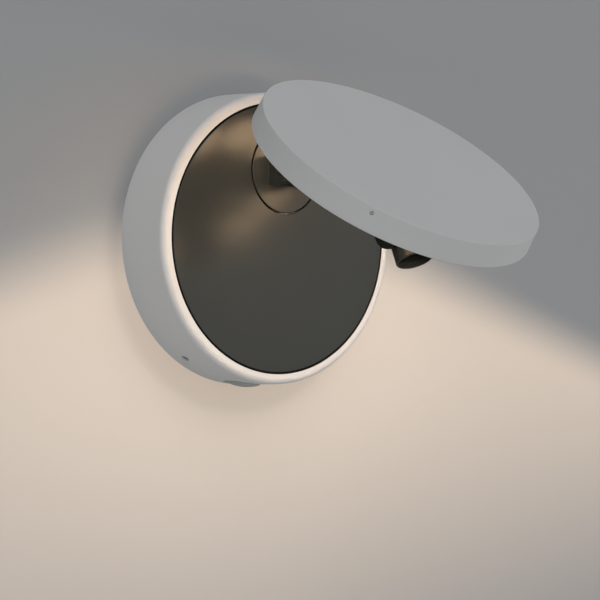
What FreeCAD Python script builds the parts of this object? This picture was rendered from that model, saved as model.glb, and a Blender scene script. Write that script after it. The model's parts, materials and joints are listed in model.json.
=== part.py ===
import FreeCAD, Part
import math
import os

# A round wall light. A shallow drum sits on the wall, a small turntable in its dark face carries
# a hinged arm, and the arm carries a thin disc-shaped head with a ring of light under it and a
# small swivelling spot.
# Millimetres. The origin is on the wall at the drum's centre, +Z is up and -Y points off the wall.

Vector = FreeCAD.Vector

# --- running and assembly clearances ---
running_clearance = 0.05        # between a turning pin, hub or washer and what it turns in
assembly_clearance = 0.3        # between loose-fitted pieces of one body
swing_clearance = 0.4           # between a swinging end and the surface it passes
thread_engagement = 2.0         # how far a small screw reaches into blind material

# --- drum ---
drum_wall_radius = 70.0         # outside, where the drum meets the wall
drum_taper = 2.3                # how much narrower it is just behind the rounded front edge
drum_depth = 29.0
drum_edge_radius = 2.9
drum_skin = 2.6
front_ring_width = 4.85         # rim in front, from the taper to the face plate's opening
ledge_width = 5.2               # ledge inside, on which the face plate lies
ledge_thickness = 2.5

# --- face plate ---
face_gap = 1.0                  # dark ring gap around the face plate
face_thickness = 3.0
face_edge_chamfer = 0.3
face_screw_inset = 2.1          # screws, from the face plate's edge
face_screw_angles = (30.0, 150.0, 270.0)

# --- turntable and its bearing ---
turntable_radius = 19.2
turntable_from_edge = 11.35     # from the turntable's edge to the face plate's edge
turntable_gap = 0.7             # ring gap seen around the turntable
turntable_thickness = 4.0
hub_radius = 12.0
cable_bore_radius = 3.0
thrust_washer_thickness = 0.5
housing_flange_width = 6.0      # flange beyond the turntable's opening
housing_flange_thickness = 3.0
housing_boss_radius = 16.6
housing_back = 14.0             # distance of the boss's rear face from the wall
housing_screw_circle = 22.6
wave_washer_thickness = 0.5
wave_washer_width = 3.0
collar_radius = 16.0
collar_thickness = 2.5
collar_screw_circle = 8.2
collar_screw_angles = (30.0, 150.0, 270.0)
housing_screw_angles = (90.0, 210.0, 330.0)
stop_pin_circle = 21.6
stop_pin_radius = 1.4
stop_lug_reach = 23.4
stop_lug_half_width = 2.0

# --- hinge knuckles, alike at both ends of the arm ---
knuckle_radius = 6.7
knuckle_half_width = 10.1
tongue_half_width = 4.6
hinge_washer_thickness = 0.5
hinge_washer_inset = 1.0        # washer's edge inside the knuckle's
hinge_pin_radius = 2.5

# --- arm ---
arm_length = 46.0               # between the two hinge axes
arm_drop = 5.1                  # degrees below level, as photographed
channel_half_width = 4.5
channel_depth = 6.0
cover_thickness = 1.5
cover_margin = 1.0              # how far the lid's rebate is wider than the channel
lead_hole_radius = 1.6
lead_hole_rise = 2.0            # from the channel's floor to the hole's underside

# --- head ---
head_radius = 62.6              # underside
head_taper = 0.9                # how much narrower the top is
head_thickness = 10.0
head_tilt = 36.65               # degrees from level, as photographed
head_skin = 2.2                 # thickness of the rim
head_top_skin = 1.4
head_edge_round = 0.5
hinge_from_centre = 15.2        # head hinge, towards the wall from the disc's centre
hinge_below_head = 7.8
lug_root_reach = 1.6            # root of the hub's lug, from the hinge axis towards the wall

# --- hub plate and light ring under the head ---
hub_plate_radius = 31.0
hub_plate_thickness = 3.0
hub_lip = 1.0                   # height of the lips that hold the diffuser
hub_lip_width = 1.5
hub_collar_radius = 15.0
hub_collar_bore = 11.0
hub_screw_inset = 6.0           # screws, from the hub plate's edge
hub_screw_angles = (45.0, 135.0, 225.0, 315.0)
boss_radius = 3.2
diffuser_thickness = 2.0
rim_lip_width = 1.0
spreader_thickness = 2.0
board_thickness = 1.0
head_grub_radius = 0.9
socket_share = 0.55             # hexagon socket in a headless screw, as a share of its radius
head_grub_sunk = 0.4
head_grub_angles = (100.0, 220.0, 340.0)
led_count = 24
led_side = 3.0
led_height = 0.8
reflector_foot = 2.4            # width at the diffuser
reflector_slope = 2.2           # how much wider at the board

# --- small spot and its swivelling yoke ---
spot_from_centre = 19.0         # swivel, away from the wall from the disc's centre
spot_below_head = 13.5          # spot's pivot under the hub plate
spot_lean = 63.8                # degrees from square to the head, mouth away from the wall
spot_turn = 5.0                 # degrees that the yoke is turned aside, as photographed
spot_radius = 7.7
spot_front = 14.0               # pivot to mouth
spot_rear = 8.4                 # pivot to the end cap's rear face
spot_mouth_bore = 6.9
spot_mouth_depth = 5.4
spot_inner_bore = 4.6
cheek_radius = 8.3
cheek_thickness = 2.0
yoke_plate_thickness = 1.6
swivel_washer_thickness = 0.5
swivel_washer_radius = 5.5
swivel_screw_radius = 1.5
swivel_head_radius = 2.8
pivot_screw_radius = 1.5
pivot_head_radius = 2.6
pivot_head_thickness = 0.9
pivot_recess_radius = 4.4
pivot_recess_depth = 1.0
cap_thickness = 2.4
cap_bevel = 0.8
groove_width = 0.6              # cooling groove around the end cap
groove_depth = 0.8
mouth_bevel = 0.3
spot_led_thickness = 1.4
lens_length = 3.6
baffle_steps = 3

# --- wall plate and what it carries ---
plate_inset = 8.0               # wall plate's edge inside the drum's edge
plate_thickness = 2.0
wall_slot_spacing = 60.0
wall_slot_width = 5.0
wall_slot_length = 12.0
cable_hole_radius = 9.0
grommet_wall = 1.6
grommet_lip = 1.5
grub_angles = (90.0, 232.0, 308.0)
grub_radius = 2.0
grub_from_wall = 8.7
grub_sunk = 0.8                 # how far the screw's end lies below the drum's side
tab_thickness = 3.5
tab_half_width = 5.5
tab_height = 12.0
terminal_size = (28.0, 11.0, 9.0)
terminal_ways = 3
terminal_wire_radius = 2.3      # wire holes and screw wells
terminal_well_floor = 3.0       # from the block's middle to the wells' floor
terminal_screw_length = 1.2
terminal_margin = 2.5           # from the grommet's lip down to the terminal block
driver_gap = 2.0                # from the terminal block down to the driver
driver_depth = 14.0
driver_side_margin = 31.0       # from the wall plate's edge to the driver's side
driver_foot_margin = 14.0       # from the wall plate's edge to the driver's underside
driver_ear = 6.0
driver_edge = 2.0
earth_margin = 25.0             # from the wall plate's edge to the earth stud
earth_drop = 15.0               # earth stud below the drum's centre
earth_stud_radius = 2.0
earth_stud_length = 8.0
earth_nut_height = 3.2

# --- push button ---
button_angle = 260.0            # on the drum's side, seen from the front
button_from_wall = 10.8
button_radius = 8.5
button_stands_out = 1.5
button_dome = 1.8               # height of its domed face
button_flange = 1.1
button_flange_thickness = 1.1
button_travel = 1.0
switch_half_width = 6.5
switch_height = 8.0
switch_edge = 1.0               # rounding of the switch's upright edges
dome_foot_radius = 4.6          # rubber dome that returns the button
dome_head_radius = 3.0
dome_wall = 0.6
dome_seat = 2.6                 # depth of the dome's pocket in the button

# --- small screws ---
screw_radius = 1.25
screw_head_radius = 2.6
screw_head_height = 1.6
head_bevel_share = 0.4          # bevel round the head, as a share of its height
screw_passage = 1.7             # radius of the hole a small screw passes through


# ---------- shared shapes ----------

def revolved(points, axis):
    """Turn a closed outline about the Y or the Z axis.

    Each point is (radius, height), or (radius, height, middle radius, middle height) where the
    outline reaches it along an arc through the middle point.
    """
    direction = Vector(0, 1, 0) if axis == "y" else Vector(0, 0, 1)

    def corner(radius, height):
        return Vector(radius, 0, 0) + direction * height

    sides = []
    for before, here in zip(points[-1:] + points[:-1], points):
        start = corner(*before[:2])
        end = corner(*here[:2])
        if len(here) == 4:
            sides.append(Part.Arc(start, corner(*here[2:]), end).toShape())
        else:
            sides.append(Part.LineSegment(start, end).toShape())
    return Part.Face(Part.Wire(sides)).revolve(Vector(0, 0, 0), direction, 360)


def dome(radius, edge, crown):
    """Outline points from a rim at one height to a spherical crown on the axis."""
    rise = crown - edge
    sphere = (radius ** 2 + rise ** 2) / (2 * rise)
    half = math.asin(radius / sphere) / 2
    return [(radius, edge), (0, crown, sphere * math.sin(half),
                             crown - sphere + sphere * math.cos(half))]


def rod(radius, start, end):
    """A round bar between two points."""
    return Part.makeCylinder(radius, (end - start).Length, start, end - start)


def block(first, second):
    """A box between two opposite corners, in either order."""
    low = Vector(min(first.x, second.x), min(first.y, second.y), min(first.z, second.z))
    size = Vector(abs(second.x - first.x), abs(second.y - first.y), abs(second.z - first.z))
    return Part.makeBox(size.x, size.y, size.z, low)


def around(radius, angle, y, height=0.0):
    """A point on a circle about a Y axis that lies at the given height."""
    turn = math.radians(angle)
    return Vector(radius * math.cos(turn), y, height + radius * math.sin(turn))


def placed(shape, tilt, point):
    """Turn a piece about X from its level position and move its origin to a point."""
    copy = shape.copy()
    copy.rotate(Vector(0, 0, 0), Vector(1, 0, 0), tilt)
    copy.translate(point)
    return copy


def knuckle(inner_x, outer_x, root_y):
    """A hinge eye about X at the origin, with a square root that runs back to root_y."""
    eye = rod(knuckle_radius, Vector(inner_x, 0, 0), Vector(outer_x, 0, 0))
    root = block(Vector(inner_x, 0, -knuckle_radius), Vector(outer_x, root_y, knuckle_radius))
    return eye.fuse(root)


def small_screw(seat, direction, shank_length):
    """A pan-head screw: its head lies behind the seat and its shank runs along the direction."""
    bevel = screw_head_height * head_bevel_share
    points = [(0, -screw_head_height), (screw_head_radius - bevel, -screw_head_height),
              (screw_head_radius, bevel - screw_head_height), (screw_head_radius, 0),
              (screw_radius, 0), (screw_radius, shank_length), (0, shank_length)]
    screw = revolved(points, "z")
    screw.Placement = FreeCAD.Placement(seat, FreeCAD.Rotation(Vector(0, 0, 1), direction))
    return screw


# ---------- places that several pieces share ----------

drum_front_radius = drum_wall_radius - drum_taper
front_ring_bore = drum_front_radius - front_ring_width
ledge_bore = front_ring_bore - ledge_width
face_radius = front_ring_bore - face_gap
face_screw_circle = face_radius - face_screw_inset
turntable_height = face_radius - turntable_from_edge - turntable_radius
housing_flange_radius = turntable_radius + turntable_gap + housing_flange_width
plate_radius = drum_wall_radius - plate_inset
terminal_top = -(cable_hole_radius + grommet_lip + terminal_margin)
driver_top = terminal_top - terminal_size[2] - driver_gap
driver_size = (2 * (plate_radius - driver_side_margin), driver_depth,
               plate_radius - driver_foot_margin + driver_top)
earth_x = earth_margin - plate_radius
earth_z = -earth_drop
face_back = -(drum_depth - face_thickness)
base_hinge = Vector(0, -(drum_depth + knuckle_radius + swing_clearance), turntable_height)
head_top_radius = head_radius - head_taper
hub_screw_circle = hub_plate_radius - hub_screw_inset
led_circle = (head_radius - head_skin + hub_plate_radius) / 2
drop = math.radians(arm_drop)
head_hinge = base_hinge + Vector(0, -arm_length * math.cos(drop), -arm_length * math.sin(drop))
tilt = math.radians(head_tilt)
up_slope = Vector(0, math.cos(tilt), math.sin(tilt))
head_normal = Vector(0, -math.sin(tilt), math.cos(tilt))
head_centre = head_hinge - up_slope * hinge_from_centre + head_normal * hinge_below_head
spot_swivel = head_centre - up_slope * spot_from_centre
spot_pivot = spot_swivel - head_normal * spot_below_head
fork_inner = tongue_half_width + hinge_washer_thickness + 2 * running_clearance
swing_radius = knuckle_radius + swing_clearance


def drum_radius_at(from_wall):
    """Outside radius of the drum's tapered side at a distance from the wall."""
    taper = (drum_wall_radius - drum_front_radius) / (drum_depth - drum_edge_radius)
    return drum_wall_radius - taper * from_wall


# ---------- base: fixed to the wall ----------

def make_wall_plate():
    """Round steel plate with two slots, a cable hole and bent tabs for the side screws."""
    plate = rod(plate_radius, Vector(0, 0, 0), Vector(0, -plate_thickness, 0))
    through = Vector(0, -2 * plate_thickness, 0)
    for side in (-1, 1):
        middle = Vector(side * wall_slot_spacing / 2, plate_thickness / 2, 0)
        half = Vector((wall_slot_length - wall_slot_width) / 2, 0, 0)
        slot = rod(wall_slot_width / 2, middle - half, middle - half + through)
        slot = slot.fuse(rod(wall_slot_width / 2, middle + half, middle + half + through))
        low = middle - half + through - Vector(0, 0, wall_slot_width / 2)
        slot = slot.fuse(block(low, middle + half + Vector(0, 0, wall_slot_width / 2)))
        plate = plate.cut(slot)
    plate = plate.cut(rod(cable_hole_radius, Vector(0, plate_thickness / 2, 0), through))
    rim = rod(plate_radius, Vector(0, 0, 0), Vector(0, -tab_height, 0))
    for angle in grub_angles:
        tab = block(Vector(plate_radius - tab_thickness, -tab_height, -tab_half_width),
                    Vector(plate_radius + tab_thickness, 0, tab_half_width))
        tab.rotate(Vector(0, 0, 0), Vector(0, 1, 0), -angle)
        plate = plate.fuse(tab.common(rim))
    stud_hole = rod(earth_stud_radius, Vector(earth_x, plate_thickness, earth_z),
                    Vector(earth_x, -2 * plate_thickness, earth_z))
    return plate.cut(stud_hole).removeSplitter()


def make_cable_grommet():
    """Rubber bush that lines the cable hole, with a lip inside the drum."""
    bore = cable_hole_radius - grommet_wall
    points = [(bore, 0), (cable_hole_radius, 0), (cable_hole_radius, -plate_thickness),
              (cable_hole_radius + grommet_lip, -plate_thickness),
              (cable_hole_radius + grommet_lip, -plate_thickness - grommet_lip),
              (bore, -plate_thickness - grommet_lip)]
    return revolved(points, "y")


def make_base_shell():
    """Cast drum with a tapered side, a rounded edge, a flat front ring and a ledge inside."""
    ledge_back = face_back + ledge_thickness
    slope = math.atan2(drum_wall_radius - drum_front_radius, drum_depth - drum_edge_radius)
    edge_centre = drum_depth - drum_edge_radius
    round_centre = drum_radius_at(edge_centre) - drum_edge_radius / math.cos(slope)
    middle = (math.pi / 2 + slope) / 2
    points = [(drum_wall_radius, 0),
              (round_centre + drum_edge_radius * math.cos(slope),
               -edge_centre - drum_edge_radius * math.sin(slope)),
              (round_centre, -drum_depth,
               round_centre + drum_edge_radius * math.cos(middle),
               -edge_centre - drum_edge_radius * math.sin(middle)),
              (front_ring_bore, -drum_depth),
              (front_ring_bore, face_back),
              (ledge_bore, face_back),
              (ledge_bore, ledge_back),
              (drum_radius_at(-ledge_back) - drum_skin, ledge_back),
              (drum_wall_radius - drum_skin, 0)]
    shell = revolved(points, "y")
    for angle in face_screw_angles:
        start = around(face_screw_circle, angle, face_back - face_thickness / 2)
        shell = shell.cut(rod(screw_passage, start, around(face_screw_circle, angle, 0)))
    for angle in grub_angles:
        start = around(ledge_bore, angle, -grub_from_wall)
        end = around(drum_wall_radius + drum_skin, angle, -grub_from_wall)
        shell = shell.cut(rod(grub_radius, start, end))
    start = around(ledge_bore, button_angle, -button_from_wall)
    end = around(drum_wall_radius + drum_skin, button_angle, -button_from_wall)
    return shell.cut(rod(button_radius + assembly_clearance, start, end))


def make_base_grub_screws():
    """Headless side screws with a hexagon socket, pressing on the wall plate's tabs."""
    screws = []
    for angle in grub_angles:
        start = around(plate_radius, angle, -grub_from_wall)
        end = around(drum_radius_at(grub_from_wall) - grub_sunk, angle, -grub_from_wall)
        screw = rod(grub_radius, start, end)
        way = (end - start).normalize()
        socket = Part.makeCylinder(grub_radius * socket_share, grub_radius,
                                   end - way * grub_radius, way)
        screws.append(screw.cut(socket))
    return Part.makeCompound(screws)


def make_face_plate():
    """Dark turned disc with an off-centre opening for the turntable."""
    front = -drum_depth
    points = [(0, face_back), (face_radius, face_back),
              (face_radius, front + face_edge_chamfer), (face_radius - face_edge_chamfer, front),
              (0, front)]
    plate = revolved(points, "y")
    opening = turntable_radius + turntable_gap
    axis = Vector(0, 0, turntable_height)
    plate = plate.cut(rod(opening, axis + Vector(0, face_back + face_thickness, 0),
                          axis + Vector(0, front - face_thickness, 0)))
    bevel = Part.makeCone(opening + face_edge_chamfer, opening, face_edge_chamfer,
                          axis + Vector(0, front, 0), Vector(0, 1, 0))
    plate = plate.cut(bevel)
    for angle in face_screw_angles:
        seat = around(face_screw_circle, angle, face_back)
        plate = plate.cut(rod(screw_radius, seat, seat - Vector(0, thread_engagement, 0)))
    for angle in housing_screw_angles:
        seat = around(housing_screw_circle, angle, face_back, turntable_height)
        plate = plate.cut(rod(screw_radius, seat, seat - Vector(0, thread_engagement, 0)))
    return plate


def make_face_plate_screws():
    """Screws that hold the face plate against the drum's ledge."""
    screws = []
    for angle in face_screw_angles:
        seat = around(face_screw_circle, angle, face_back + ledge_thickness)
        reach = ledge_thickness + thread_engagement
        screws.append(small_screw(seat, Vector(0, -1, 0), reach))
    return Part.makeCompound(screws)


def make_bearing_housing():
    """Flanged bush behind the face plate in which the turntable's hub turns."""
    flange_back = face_back + housing_flange_thickness
    washer_floor = -drum_depth + turntable_thickness + thrust_washer_thickness
    bore = hub_radius + running_clearance
    recess = turntable_radius + turntable_gap
    points = [(bore, washer_floor), (recess, washer_floor), (recess, face_back),
              (housing_flange_radius, face_back), (housing_flange_radius, flange_back),
              (housing_boss_radius, flange_back), (housing_boss_radius, -housing_back),
              (bore, -housing_back)]
    housing = revolved(points, "y")
    housing.translate(Vector(0, 0, turntable_height))
    for angle in housing_screw_angles:
        start = around(housing_screw_circle, angle, face_back, turntable_height)
        end = around(housing_screw_circle, angle, flange_back, turntable_height)
        housing = housing.cut(rod(screw_passage, start, end))
    foot = around(stop_pin_circle, 270, flange_back, turntable_height)
    return housing.cut(rod(stop_pin_radius, foot, foot - Vector(0, thread_engagement, 0)))


def make_bearing_screws():
    """Screws that hold the housing's flange to the back of the face plate."""
    screws = []
    for angle in housing_screw_angles:
        seat = around(housing_screw_circle, angle, face_back + housing_flange_thickness,
                      turntable_height)
        reach = housing_flange_thickness + thread_engagement
        screws.append(small_screw(seat, Vector(0, -1, 0), reach))
    return Part.makeCompound(screws)


def make_stop_pin():
    """Pin that the collar's lug meets at each end of the turntable's turn."""
    foot = around(stop_pin_circle, 270, face_back + housing_flange_thickness, turntable_height)
    top = Vector(foot.x, -housing_back + wave_washer_thickness + collar_thickness, foot.z)
    return rod(stop_pin_radius, foot - Vector(0, thread_engagement, 0), top)


def make_led_driver():
    """Driver box with two screw ears, standing on the wall plate."""
    width, depth, height = driver_size
    low = Vector(-width / 2, -plate_thickness - depth, driver_top - height)
    box = block(low, low + Vector(width, depth, height))
    upright = [edge for edge in box.Edges if abs(edge.BoundBox.YLength - depth) < 0.01]
    box = box.makeFillet(driver_edge, upright)
    for side in (-1, 1):
        middle = Vector(side * (width + driver_ear) / 2, 0, driver_top - height / 2)
        reach = Vector(driver_ear / 2, plate_thickness, driver_ear)
        top = Vector(0, plate_thickness, 0)
        ear = block(middle - reach - top, middle + reach - top - Vector(0, plate_thickness, 0))
        ear = ear.cut(rod(screw_passage, middle, middle - Vector(0, 3 * plate_thickness, 0)))
        box = box.fuse(ear)
    return box


def make_driver_screws():
    """Screws through the driver's ears into the wall plate."""
    screws = []
    width, depth, height = driver_size
    for side in (-1, 1):
        seat = Vector(side * (width + driver_ear) / 2, -2 * plate_thickness,
                      driver_top - height / 2)
        screws.append(small_screw(seat, Vector(0, 1, 0), plate_thickness))
    return Part.makeCompound(screws)


def make_terminal_block():
    """Mains terminal block with wire holes on its lower side and screw wells in front."""
    width, depth, height = terminal_size
    low = Vector(-width / 2, -plate_thickness - depth, terminal_top - height)
    body = block(low, low + Vector(width, depth, height))
    pitch = width / terminal_ways
    for way in range(terminal_ways):
        x = -width / 2 + pitch * (way + 0.5)
        middle = Vector(x, -plate_thickness - depth / 2, terminal_top - height / 2)
        body = body.cut(rod(terminal_wire_radius, middle, middle - Vector(0, 0, height)))
        floor = middle - Vector(0, terminal_well_floor, 0)
        body = body.cut(rod(terminal_wire_radius, floor, middle - Vector(0, depth, 0)))
    return body


def make_terminal_screws():
    """Clamping screws in the wells of the terminal block."""
    width, depth, height = terminal_size
    pitch = width / terminal_ways
    screws = []
    for way in range(terminal_ways):
        x = -width / 2 + pitch * (way + 0.5)
        floor = Vector(x, -plate_thickness - depth / 2 - terminal_well_floor,
                       terminal_top - height / 2)
        screws.append(rod(terminal_wire_radius, floor,
                          floor - Vector(0, terminal_screw_length, 0)))
    return Part.makeCompound(screws)


def make_earth_stud():
    """Earth stud in the wall plate with its nut."""
    foot = Vector(earth_x, 0, earth_z)
    stud = rod(earth_stud_radius, foot, foot - Vector(0, earth_stud_length, 0))
    corners = []
    for corner in range(6):
        turn = math.radians(60 * corner)
        corners.append(Vector(earth_x + 2 * earth_stud_radius * math.cos(turn), -plate_thickness,
                              earth_z + 2 * earth_stud_radius * math.sin(turn)))
    nut = Part.Face(Part.makePolygon(corners + corners[:1]))
    return stud.fuse(nut.extrude(Vector(0, -earth_nut_height, 0)))


# ---------- push button, made upright at the drum's top and turned to its place ----------

def turned_to_button(shape):
    """Move a piece from above the drum's centre to the button's place on the side."""
    copy = shape.copy()
    copy.translate(Vector(0, -button_from_wall, 0))
    copy.rotate(Vector(0, 0, 0), Vector(0, 1, 0), 90.0 - button_angle)
    return copy


button_face = drum_radius_at(button_from_wall) + button_stands_out
button_inside = drum_radius_at(button_from_wall) - drum_skin
flange_outer = button_radius + button_flange
flange_top = math.sqrt(button_inside ** 2 - flange_outer ** 2) - 2 * assembly_clearance
flange_bottom = flange_top - button_flange_thickness
switch_top = flange_bottom - button_travel - assembly_clearance


def make_push_button():
    """Low domed button with a flange that keeps it behind the drum's side."""
    points = [(0, flange_bottom), (flange_outer, flange_bottom), (flange_outer, flange_top),
              (button_radius, flange_top)]
    points += dome(button_radius, button_face - button_dome, button_face)
    button = revolved(points, "z")
    seat = rod(dome_foot_radius + assembly_clearance, Vector(0, 0, flange_bottom),
               Vector(0, 0, flange_bottom + dome_seat))
    return turned_to_button(button.cut(seat))


def make_button_return():
    """Rubber dome between the switch and the button, which pushes the button out again."""
    foot = switch_top
    head = flange_bottom + dome_seat
    shoulder = foot + dome_wall
    points = [(dome_foot_radius - 2 * dome_wall, foot), (dome_foot_radius, foot),
              (dome_foot_radius, shoulder), (dome_head_radius, head), (0, head),
              (0, head - dome_wall), (dome_head_radius - dome_wall, head - dome_wall)]
    return turned_to_button(revolved(points, "z"))


def make_switch_body():
    """Tap switch behind the button, on a foot that stands on the wall plate."""
    foot = button_from_wall - plate_thickness
    body = block(Vector(-switch_half_width, -switch_half_width, switch_top - switch_height),
                 Vector(switch_half_width, foot, switch_top))
    upright = [edge for edge in body.Edges if abs(edge.BoundBox.ZLength - switch_height) < 0.01]
    return turned_to_button(body.makeFillet(switch_edge, upright))


# ---------- turntable ----------

def make_turntable():
    """Dark disc with a hub behind it and two hinge ears in front."""
    axis = Vector(0, 0, turntable_height)
    disc_back = -drum_depth + turntable_thickness
    hub_back = -housing_back + wave_washer_thickness
    points = [(cable_bore_radius, hub_back), (hub_radius, hub_back), (hub_radius, disc_back),
              (turntable_radius, disc_back),
              (turntable_radius, -drum_depth + face_edge_chamfer),
              (turntable_radius - face_edge_chamfer, -drum_depth),
              (cable_bore_radius, -drum_depth)]
    body = revolved(points, "y")
    body.translate(axis)
    for side in (-1, 1):
        ear = knuckle(side * fork_inner, side * knuckle_half_width,
                      -drum_depth - base_hinge.y + turntable_thickness / 2)
        ear.translate(base_hinge)
        body = body.fuse(ear)
    pin_way = Vector(2 * knuckle_half_width, 0, 0)
    body = body.cut(rod(hinge_pin_radius, base_hinge - pin_way, base_hinge + pin_way))
    for angle in collar_screw_angles:
        seat = around(collar_screw_circle, angle, hub_back, turntable_height)
        body = body.cut(rod(screw_radius, seat, seat - Vector(0, 2 * thread_engagement, 0)))
    return body.removeSplitter()


def make_thrust_washer():
    """Low-friction washer between the turntable and the housing."""
    front = -drum_depth + turntable_thickness
    points = [(hub_radius + running_clearance, front), (turntable_radius, front),
              (turntable_radius, front + thrust_washer_thickness),
              (hub_radius + running_clearance, front + thrust_washer_thickness)]
    washer = revolved(points, "y")
    washer.translate(Vector(0, 0, turntable_height))
    return washer


def make_wave_washer():
    """Friction washer behind the housing that holds the turntable where it is set."""
    points = [(hub_radius + running_clearance, -housing_back),
              (hub_radius + wave_washer_width, -housing_back),
              (hub_radius + wave_washer_width, -housing_back + wave_washer_thickness),
              (hub_radius + running_clearance, -housing_back + wave_washer_thickness)]
    washer = revolved(points, "y")
    washer.translate(Vector(0, 0, turntable_height))
    return washer


def make_retaining_collar():
    """Plate on the back of the hub, with the lug that limits the turn."""
    front = -housing_back + wave_washer_thickness
    points = [(cable_bore_radius, front), (collar_radius, front),
              (collar_radius, front + collar_thickness),
              (cable_bore_radius, front + collar_thickness)]
    collar = revolved(points, "y")
    lug = block(Vector(-stop_lug_half_width, front, hub_radius),
                Vector(stop_lug_half_width, front + collar_thickness, stop_lug_reach))
    collar = collar.fuse(lug)
    collar.translate(Vector(0, 0, turntable_height))
    for angle in collar_screw_angles:
        seat = around(collar_screw_circle, angle, front, turntable_height)
        collar = collar.cut(rod(screw_passage, seat, seat + Vector(0, collar_thickness, 0)))
    return collar.removeSplitter()


def make_collar_screws():
    """Screws that fix the collar to the hub."""
    screws = []
    for angle in collar_screw_angles:
        seat = around(collar_screw_circle, angle,
                      -housing_back + wave_washer_thickness + collar_thickness, turntable_height)
        reach = collar_thickness + 2 * thread_engagement
        screws.append(small_screw(seat, Vector(0, -1, 0), reach))
    return Part.makeCompound(screws)


def make_hinge_pin(centre):
    """Plain pin pressed into the outer ears of a hinge, flush with them."""
    half = Vector(knuckle_half_width, 0, 0)
    return rod(hinge_pin_radius, centre - half, centre + half)


def make_hinge_washers(centre):
    """Two friction washers, one each side of a hinge's tongue."""
    washers = []
    bore = hinge_pin_radius + running_clearance
    for side in (-1, 1):
        start = centre + Vector(side * (tongue_half_width + running_clearance), 0, 0)
        end = start + Vector(side * hinge_washer_thickness, 0, 0)
        washer = rod(knuckle_radius - hinge_washer_inset, start, end)
        washers.append(washer.cut(rod(bore, start, end)))
    return Part.makeCompound(washers)


# ---------- arm, made level along -Y from the base hinge ----------

channel_start = swing_radius + 2 * cover_margin
channel_end = arm_length - swing_radius - 2 * cover_margin


def make_arm():
    """Square-section arm with a tongue at the turntable, a fork at the head and a lead channel."""
    body = block(Vector(-knuckle_half_width, -arm_length, -knuckle_radius),
                 Vector(knuckle_half_width, -swing_radius, knuckle_radius))
    tongue = knuckle(-tongue_half_width, tongue_half_width, -swing_radius - knuckle_radius)
    body = body.fuse(tongue)
    fork_end = rod(knuckle_radius, Vector(-knuckle_half_width, -arm_length, 0),
                   Vector(knuckle_half_width, -arm_length, 0))
    body = body.fuse(fork_end)
    slot_end = -arm_length - 2 * knuckle_radius
    slot = block(Vector(-fork_inner, slot_end, -2 * knuckle_radius),
                 Vector(fork_inner, -arm_length, 2 * knuckle_radius))
    slot = slot.fuse(rod(swing_radius, Vector(-fork_inner, -arm_length, 0),
                         Vector(fork_inner, -arm_length, 0)))
    body = body.cut(slot)
    pin_half = Vector(2 * knuckle_half_width, 0, 0)
    base_eye = Vector(0, 0, 0)
    head_eye = Vector(0, -arm_length, 0)
    body = body.cut(rod(hinge_pin_radius + running_clearance, base_eye - pin_half,
                        base_eye + pin_half))
    body = body.cut(rod(hinge_pin_radius, head_eye - pin_half, head_eye + pin_half))
    floor = knuckle_radius - cover_thickness - channel_depth
    channel = block(Vector(-channel_half_width, -channel_end, floor),
                    Vector(channel_half_width, -channel_start, knuckle_radius))
    rebate = block(Vector(-channel_half_width - cover_margin, -channel_end - cover_margin,
                          knuckle_radius - cover_thickness),
                   Vector(channel_half_width + cover_margin, -channel_start + cover_margin,
                          knuckle_radius))
    lead_height = floor + lead_hole_rise + lead_hole_radius
    lead_hole = rod(lead_hole_radius, Vector(0, -channel_end, lead_height),
                    Vector(0, -arm_length, lead_height))
    body = body.cut(channel).cut(rebate).cut(lead_hole)
    return body.removeSplitter()


def make_arm_cover():
    """Lid that closes the lead channel, flush with the arm's upper side."""
    return block(Vector(-channel_half_width - cover_margin, -channel_end - cover_margin,
                        knuckle_radius - cover_thickness),
                 Vector(channel_half_width + cover_margin, -channel_start + cover_margin,
                        knuckle_radius))


# ---------- head, made level with its underside at height 0 and +Y towards the wall ----------

head_inside = head_thickness - head_top_skin
board_top = head_inside - spreader_thickness
grub_height = head_inside - spreader_thickness / 2
diffuser_outer = head_radius - head_skin - rim_lip_width


def in_head(radius, angle, height):
    """A point on a circle in the head's plane, before the head is tilted."""
    turn = math.radians(angle)
    return Vector(radius * math.cos(turn), radius * math.sin(turn), height)


def make_head_shell():
    """Thin turned dish, pale painted, with a lip inside its rim and four screw bosses."""
    wall_inside = head_radius - head_skin
    points = [(0, head_inside), (wall_inside, head_inside), (wall_inside, hub_lip),
              (diffuser_outer, hub_lip), (diffuser_outer, 0), (head_radius, 0),
              (head_top_radius, head_thickness), (0, head_thickness)]
    shell = revolved(points, "z")
    top_edge = [edge for edge in shell.Edges if edge.BoundBox.ZMin > head_thickness - 0.01
                and edge.BoundBox.XMax > head_top_radius - 0.01]
    shell = shell.makeFillet(head_edge_round, top_edge)
    foot_edge = [edge for edge in shell.Edges if edge.BoundBox.ZMax < 0.01
                 and edge.BoundBox.XMax > head_radius - 0.01]
    shell = shell.makeChamfer(head_edge_round / 2, foot_edge)
    for angle in hub_screw_angles:
        centre = in_head(hub_screw_circle, angle, 0)
        top = centre + Vector(0, 0, head_inside)
        boss = rod(boss_radius, centre + Vector(0, 0, hub_plate_thickness), top)
        shell = shell.fuse(boss)
        hole_end = centre + Vector(0, 0, head_inside - assembly_clearance)
        shell = shell.cut(rod(screw_radius, centre, hole_end))
    for angle in head_grub_angles:
        start = in_head(head_radius - head_skin - assembly_clearance, angle, grub_height)
        end = in_head(head_radius + head_skin, angle, grub_height)
        shell = shell.cut(rod(head_grub_radius, start, end))
    return shell.removeSplitter()


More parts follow.
